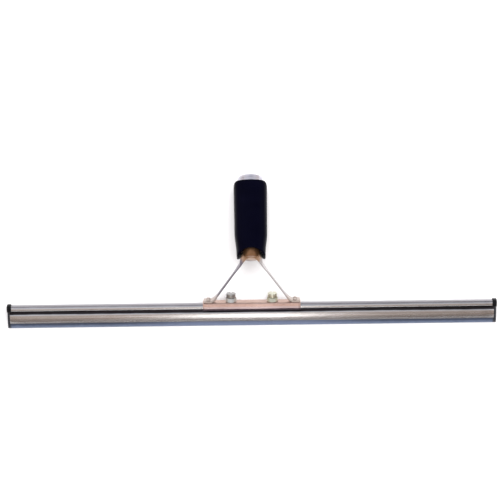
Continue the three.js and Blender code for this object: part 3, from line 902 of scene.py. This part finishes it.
def make_world():
    """A soft dome, lavender overhead, warm low down at the blade's side and dark at the horizon.
    A dimmer band stands a little to the right."""
    world = bpy.data.worlds.new("studio")
    bpy.context.scene.world = world
    world.use_nodes = True
    tree = world.node_tree
    coordinates = tree.nodes.new("ShaderNodeTexCoord")
    lean = tree.nodes.new("ShaderNodeVectorMath")
    lean.operation = "DOT_PRODUCT"
    lean.inputs[1].default_value = (0, 0.25, 0.714)
    tree.links.new(coordinates.outputs["Generated"], lean.inputs[0])
    rise = tree.nodes.new("ShaderNodeMath")
    rise.operation = "ADD"
    rise.inputs[1].default_value = 0.286
    tree.links.new(lean.outputs["Value"], rise.inputs[0])
    dome = ramp(tree, rise.outputs[0],
                [(0.0, (0.10, 0.09, 0.09)), (0.12, (0.15, 0.13, 0.125)), (0.34, (0.36, 0.27, 0.22)),
                 (0.6, (0.74, 0.62, 0.55)), (0.72, (0.88, 0.86, 0.88)), (0.84, (0.98, 0.98, 1.02)),
                 (1.0, (0.74, 0.75, 0.82))])
    split = tree.nodes.new("ShaderNodeSeparateXYZ")
    tree.links.new(coordinates.outputs["Generated"], split.inputs[0])
    band = [(at, (tone,) * 3) for at, tone in ((0.04, 1.0), (0.13, 0.5), (0.26, 0.6), (0.42, 1.0))]
    shade = tree.nodes.new("ShaderNodeVectorMath")
    shade.operation = "MULTIPLY"
    tree.links.new(dome, shade.inputs[0])
    tree.links.new(ramp(tree, split.outputs["X"], band, "EASE"), shade.inputs[1])
    tree.links.new(shade.outputs["Vector"], tree.nodes["Background"].inputs["Color"])


def make_light(name, place, size, power, gleams):
    """A soft lamp aimed at the origin. Only a lamp that gleams is mirrored in the metal."""
    data = bpy.data.lights.new(name, "AREA")
    data.shape = "RECTANGLE"
    data.size, data.size_y = size
    data.energy = power
    light = bpy.data.objects.new(name, data)
    bpy.context.scene.collection.objects.link(light)
    light.location = place
    light.visible_camera = False
    light.visible_glossy = gleams
    light.rotation_mode = "QUATERNION"
    light.rotation_quaternion = (-Vector(place)).to_track_quat("-Z", "Y")


def make_camera():
    """Almost straight above, leaning a little towards the blade's side, with a long lens."""
    elevation, roll = math.radians(84), math.radians(-0.72)
    view_width, lens, sensor = 0.474, 150, 36
    above_edge, leftwards = 0.0708, 0.001
    data = bpy.data.cameras.new("camera")
    data.lens = lens
    data.sensor_width = sensor
    camera = bpy.data.objects.new("camera", data)
    bpy.context.scene.collection.objects.link(camera)
    back = Vector((0, -math.cos(elevation), math.sin(elevation)))
    up = Vector((0, math.sin(elevation), math.cos(elevation)))
    target = Vector(edge["pos_m"]) + up * above_edge - Vector((leftwards, 0, 0))
    camera.location = target + back * (view_width * lens / sensor)
    camera.rotation_mode = "QUATERNION"
    camera.rotation_quaternion = (-back).to_track_quat("-Z", "Y") @ Quaternion((0, 0, 1), roll)
    bpy.context.scene.camera = camera


# ---- assembly ----

steel = stainless()
# Painted highlight: the crown is lighter tan below its top.
yoke_bands = [(66.5, 71.5, 0.85, 0.5, both(0.50, 0.335, 0.23)),
              # Grey legs and crown shoulders, painted darker on the left as shade and lighter on the
              # right as a highlight.
              (60.5, 65.5, 0.92, 2.0, ((0.19, 0.187, 0.23), (0.54, 0.535, 0.545))),
              (21.5, 27.0, 0.9, 1.0, both(0.50, 0.42, 0.37))]
# Painted shade: the saddle's top face is darker.
clamp_bands = [(23.8, 23.0, 0.75, 0.1, both(0.50, 0.345, 0.28)),
               (19.8, 20.9, 0.8, 0.1, both(0.58, 0.495, 0.51)),
               # Painted shadow along the lower edge, where the saddle curves under the bulb.
               (18.0, 18.9, 0.95, 0.1, both(0.07, 0.045, 0.06))]
yoke_bronze = bronze("yoke_bronze", (0.19, 0.093, 0.04), (0.25, 0.127, 0.06), (0.31, 0.17, 0.085),
                     0.5, yoke_bands, 6.0, 0.8)
clamp_bronze = bronze("clamp_bronze", (0.62, 0.43, 0.372), (0.71, 0.50, 0.435), (0.79, 0.58, 0.52),
                      0.35, clamp_bands)
screw_metal = {"left": machined("tarnished_brass_grey", (0.33, 0.325, 0.325), (0.50, 0.49, 0.47)),
               "right": machined("tarnished_brass_green", (0.58, 0.58, 0.46), (0.80, 0.80, 0.66))}
nut_metal = {"left": machined("nut_brass_grey", (0.50, 0.50, 0.48), (0.70, 0.69, 0.65)),
             "right": machined("nut_brass_green", (0.58, 0.58, 0.46), (0.80, 0.80, 0.66))}
pad_brass = machined("pad_brass", (0.62, 0.48, 0.28), (0.78, 0.62, 0.40))
tube_metal = machined("drawn_aluminium", (0.58, 0.58, 0.60), (0.72, 0.72, 0.74), dark_below=16)
collar_metal = machined("polished_collar", (0.60, 0.595, 0.66), (0.72, 0.715, 0.78), 0.34, 0.48)
plastic = clip_plastic()

make_camera()
make_floor()
make_world()
make_light("overhead", (0.15, 0.25, 1.6), (1.8, 1.4), 30, False)
make_light("front_box", (-0.005, -0.605, 0.31), (0.13, 0.23), 0.28, True)

make_channel(steel)
make_blade(blade_rubber())
make_saddle(clamp_bronze)
make_yoke(yoke_bronze)
make_rivets(yoke_bronze)
make_grip(grip_rubber())
make_tube(tube_metal)
make_pin(tube_metal)
make_collar(collar_metal)
for side, sign in SIDES:
    make_clip(side, sign, plastic)
    make_nut(side, sign, nut_metal[side])
    make_screw(side, sign, screw_metal[side])
    make_pad(side, sign, pad_brass)

bpy.context.scene.view_settings.view_transform = "Standard"
bpy.context.view_layer.update()
